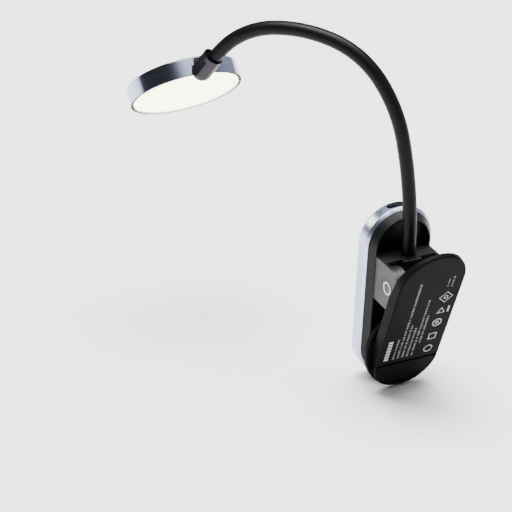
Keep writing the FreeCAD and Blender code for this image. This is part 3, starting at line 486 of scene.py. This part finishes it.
def print_mark(name, outlines, mat):
    """Flat raised print on the lever's outer face. Outlines are lists of (x, z) points."""
    verts, faces = [], []
    for outline in outlines:
        start, count = len(verts), len(outline)
        for level in (MARK_LEVEL + MARK_SINK, MARK_LEVEL - MARK_THICK):
            verts += [LEVER @ Vector((x, level, z)) for x, z in outline]
        faces.append(tuple(start + i for i in range(count)))
        faces.append(tuple(start + count + i for i in reversed(range(count))))
        for i in range(count):
            j = (i + 1) % count
            faces.append((start + i, start + j, start + count + j, start + count + i))
    obj = new_object(name, verts, faces)
    clean(obj.data, 0.0001)
    dress(obj, mat)
    return settle(obj, "lever")


def bar(x, z, width, length):
    """Upright rectangle that starts at a height."""
    half = width / 2
    return [(x - half, z), (x + half, z), (x + half, z + length), (x - half, z + length)]


def frame_outline(x, z, radius, sides, turn, width):
    """A many-sided ring as separate four-sided strips."""
    strips = []
    for i in range(sides):
        a = turn + 2 * math.pi * i / sides
        b = turn + 2 * math.pi * (i + 1) / sides
        inner = radius - width
        strips.append([(x + reach * math.cos(angle), z + reach * math.sin(angle))
                       for reach, angle in ((radius, a), (radius, b), (inner, b), (inner, a))])
    return strips


dice = random.Random(7)
# rows of dashes: place across the lever, start, end, width
rows = [(-7.3, -31.0, -19.5, 1.1), (-5.2, -31.0, 11.8, 1.1), (-3.1, -31.0, -11.9, 1.1),
        (-1.0, -31.0, -14.0, 1.1), (1.1, -31.0, 1.3, 1.1), (3.0, -24.0, -7.8, 1.1),
        (7.3, 7.1, 12.0, 0.8), (9.2, 6.5, 12.8, 0.8)]
dashes = []
for x, start, end, width in rows:
    z = start
    while z < end - 0.5:
        length = dice.uniform(0.35, 1.15)
        dashes.append(bar(x + dice.uniform(-0.06, 0.06), z, width * dice.uniform(0.6, 1.0),
                          length))
        z += length + dice.choice((0.22, 0.26, 0.3, 0.75))
print_mark("print_rows", dashes, GREY_INK)
blocks = [bar(-10.6, -30.8 + 1.7 * i, 2.0, 1.2) for i in range(7)]
print_mark("print_blocks", blocks, LIGHT_INK)
# plain ring, square, double ring, triangle and diamond: x, z, radius, sides, turn, line width
sign_rings = [(8.2, -29.0, 2.0, 28, 0, 0.45), (8.2, -21.6, 2.5, 4, math.pi / 4, 0.6),
              (8.2, -13.6, 2.2, 28, 0, 0.6), (8.2, -13.6, 0.9, 16, 0, 0.5),
              (8.2, -7.0, 2.2, 3, math.pi / 2, 0.7), (8.3, 0.9, 3.1, 4, 0, 0.45),
              (8.3, 0.9, 1.0, 16, 0, 0.4)]
signs = [strip for sizes in sign_rings for strip in frame_outline(*sizes)]
signs.append(bar(11.4, -8.2, 0.8, 3.4))
print_mark("print_signs", signs, LIGHT_INK)

# ---- self-levelling jaw ------------------------------------------------------------------------

# the jaw plate takes the darker copy of the black plastic: painted shade
edged("floating_jaw", "jaw_plate", "jaw", SHADED_BLACK_PLASTIC, 0.2, 3)
edged("jaw_pad", "jaw_grip", "jaw", SILICONE, 0.12)

# ---- gooseneck ---------------------------------------------------------------------------------

TURNS = [7.0, 7.0, 23.5, 38.5, 24.5, 39.0]      # bend of each stretch, from the foot up
SEGMENT, STRAIGHT, INSET, SLEEVE_RADIUS = 23.8, 5.5, 4.3, 2.7
NECK_EXIT, FOOT_DEPTH = Vector((0, -1.15, 43.2)), 8.0
HEADING_ANGLE = math.radians(48.0)
HEADING = Vector((-math.cos(HEADING_ANGLE), math.sin(HEADING_ANGLE), 0))


def neck_course(steps=24):
    """Points along the neck's centre line with their distance from where it leaves the block."""
    point, angle, along = NECK_EXIT, 0.0, 0.0
    course = [(point - Z * depth, -depth) for depth in (FOOT_DEPTH, FOOT_DEPTH / 2)]
    for turn in TURNS:
        bend = math.radians(turn)
        radius = SEGMENT / bend
        tangent = Z * math.cos(angle) + HEADING * math.sin(angle)
        normal = HEADING * math.cos(angle) - Z * math.sin(angle)
        for i in range(steps):
            part = bend * i / steps
            course.append((point + tangent * radius * math.sin(part)
                           + normal * radius * (1 - math.cos(part)), along + radius * part))
        point = point + tangent * radius * math.sin(bend) + normal * radius * (1 - math.cos(bend))
        angle += bend
        along += SEGMENT
    end = Z * math.cos(angle) + HEADING * math.sin(angle)
    tail = STRAIGHT + INSET
    for i in range(12):
        course.append((point + end * tail * i / 11, along + tail * i / 11))
    return course


course = neck_course()


def neck_piece(name, low, high):
    """Length of sleeve between two distances along the neck."""
    path = [point for point, along in course if low - 0.01 <= along <= high + 0.01]
    obj = tube(name, path, SLEEVE_RADIUS, 48)
    return dress(obj, SLEEVE)


half = SEGMENT / 2
foot = neck_piece("neck_skin_foot", -FOOT_DEPTH, half)
settle(foot, BODY, ["neck_sleeve_1"])
for number in range(1, 6):
    bend_at = SEGMENT * number
    piece = neck_piece(f"neck_skin_{number}", bend_at - half, bend_at + half)
    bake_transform(piece)
    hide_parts(f"neck_sleeve_{number + 1}")
tail = neck_piece("neck_skin_end", SEGMENT * 5 + half, SEGMENT * 6 + STRAIGHT + INSET)
settle(tail, "neck_end")

# ---- socket and head ---------------------------------------------------------------------------

edged("neck_socket", "barrel_joint", "neck_end", BARREL_METAL, 0.15, 3)

PIVOT = joint_point("head_tilt")
HEAD_TILT, HEAD_TURN = math.radians(-41.8), math.radians(-5.5)
HEAD_RADIUS, PIVOT_OUT, PIVOT_HEIGHT, TONGUE_SIDE = 23.0, 3.55, 2.1, 1.45
head_rotation = Matrix.Rotation(HEAD_TILT, 4, "X") @ Matrix.Rotation(HEAD_TURN, 4, "Z")
HEAD_UP = (head_rotation @ Z).normalized()
HEAD_IN = (head_rotation @ Y).normalized()
HEAD_SIDE = (head_rotation @ X).normalized()
face_centre = (PIVOT + HEAD_IN * (HEAD_RADIUS + PIVOT_OUT) - HEAD_UP * PIVOT_HEIGHT
               - HEAD_SIDE * TONGUE_SIDE)
rim = edged("head_rim", "lamp_rim", "lamp_head", RIM_METAL, 0.1, 3)
rim.data.materials.append(LIP)      # the narrow lip round the light is dark
for polygon in rim.data.polygons:
    if polygon.normal.dot(HEAD_UP) < -0.5:
        polygon.material_index = 1
edged("head_back", "lamp_back", "lamp_head", RIM_METAL, 0.1, 2)
diffuser_profile = [(0.0, 0.42), (15.0, 0.42), (20.5, 0.40), (21.4, 0.37), (21.7, 0.42),
                    (21.8, 0.6), (21.8, 1.77), (0.0, 1.77)]
glow_plate = lathe("glow_plate", diffuser_profile, face_centre, HEAD_UP, 160)
dress(glow_plate, DIFFUSER)
settle(glow_plate, "lamp_head", ["diffuser"])

# ---- pieces that stay as the CAD made them -----------------------------------------------------

plain = {
    "status_light_pipe": SMOKE, "battery": BATTERY, "main_board": BOARD,
    "block_screws": SCREW_STEEL, "button_switch": STEEL, "head_pivot_pin": STEEL,
    "light_guide": CLEAR, "leds": PHOSPHOR, "led_board": WHITE_BOARD,
}
for number in range(1, 7):
    plain[f"neck_core_{number}"] = STEEL
for node, mat in plain.items():
    mesh = frame["nodes"][node].data
    mesh.materials.clear()
    mesh.materials.append(mat)

# ---- stage -------------------------------------------------------------------------------------

FLOOR_HALF, FLOOR_GAP = 4000, 0.5
floor_level = min(corner[2] for corner in LOADED_BOUNDS) / MM - FLOOR_GAP
floor_corners = [Vector((x * FLOOR_HALF, y * FLOOR_HALF, floor_level))
                 for x, y in ((-1, -1), (1, -1), (1, 1), (-1, 1))]
floor = new_object("floor", floor_corners, [(0, 1, 2, 3)])
PAPER = surface("floor_paper", (0.93, 0.93, 0.93), (0.95, 0.95, 0.95), (0.7, 0.8), scale=3.0)
floor.data.materials.append(PAPER)

# the sky's brightness by height: 0 is straight down, 0.5 level, 1 straight up
SKY_STEPS = [(0.5, 0.01), (0.82, 0.01), (0.87, 0.02), (0.9, 0.07), (0.92, 0.25), (0.94, 0.5)]


def studio_sky():
    """Dark surround with a bright cap overhead and a faint panel to one side."""
    world = bpy.data.worlds.new("studio")
    world.use_nodes = True
    bpy.context.scene.world = world
    nodes, link = world.node_tree.nodes, world.node_tree.links.new
    background = nodes["Background"]
    background.inputs["Strength"].default_value = 4.6
    coords = nodes.new("ShaderNodeTexCoord")
    parts = nodes.new("ShaderNodeSeparateXYZ")
    shades = nodes.new("ShaderNodeValToRGB")
    ramp = shades.color_ramp
    ramp.elements[0].position, ramp.elements[0].color = 0.0, (0.9, 0.9, 0.92, 1)
    ramp.elements[1].position, ramp.elements[1].color = 1.0, (1.0, 1.0, 1.0, 1)
    for position, value in SKY_STEPS:
        element = ramp.elements.new(position)
        element.color = (value * 0.96, value * 0.97, value, 1)
    height = nodes.new("ShaderNodeMapRange")
    height.inputs["From Min"].default_value = -1.0
    side = nodes.new("ShaderNodeMapRange")
    side.inputs["From Min"].default_value = 0.6
    side.inputs["From Max"].default_value = 0.95
    mix = nodes.new("ShaderNodeMix")
    mix.data_type = "RGBA"
    mix.inputs["B"].default_value = (0.11, 0.11, 0.125, 1)
    link(coords.outputs["Generated"], parts.inputs["Vector"])
    link(parts.outputs["Z"], height.inputs["Value"])
    link(height.outputs["Result"], shades.inputs["Fac"])
    link(parts.outputs["X"], side.inputs["Value"])
    link(side.outputs["Result"], mix.inputs["Factor"])
    link(shades.outputs["Color"], mix.inputs["A"])
    link(mix.outputs["Result"], background.inputs["Color"])


studio_sky()


SOFTBOX = 0.9                       # side of each light, in metres
AIM = Vector((-0.02, 0.02, 0.06))


def area_light(name, place, power):
    """Square soft light aimed at the lamp, in metres and watts."""
    data = bpy.data.lights.new(name, "AREA")
    data.shape = "RECTANGLE"
    data.size = data.size_y = SOFTBOX
    data.energy = power
    lamp = bpy.data.objects.new(name, data)
    lamp.location = place
    toward = AIM - Vector(place)
    lamp.rotation_mode = "QUATERNION"
    lamp.rotation_quaternion = toward.to_track_quat("-Z", "Y")
    bpy.context.scene.collection.objects.link(lamp)


area_light("key", (-0.25, 0.35, 1.6), 52)
area_light("top", (0.4, 0.1, 1.6), 36)

# ---- camera ------------------------------------------------------------------------------------

CAMERA_PLACE = Vector((-0.2561, -0.4002, 0.3058))       # in metres
CAMERA_HEADING = math.radians(-25.6)
CAMERA_PITCH = math.radians(60.6)       # 0 looks straight down, 90 looks level
CAMERA_ROLL = math.radians(1.6)

camera_data = bpy.data.cameras.new("camera")
camera_data.lens = 98.4
camera_data.sensor_width = 36.0
camera_data.dof.use_dof = False
camera = bpy.data.objects.new("camera", camera_data)
camera_turn = (Matrix.Rotation(CAMERA_HEADING, 4, "Z") @ Matrix.Rotation(CAMERA_PITCH, 4, "X")
               @ Matrix.Rotation(CAMERA_ROLL, 4, "Z"))
camera.matrix_world = Matrix.Translation(CAMERA_PLACE) @ camera_turn
bpy.context.scene.collection.objects.link(camera)
bpy.context.scene.camera = camera
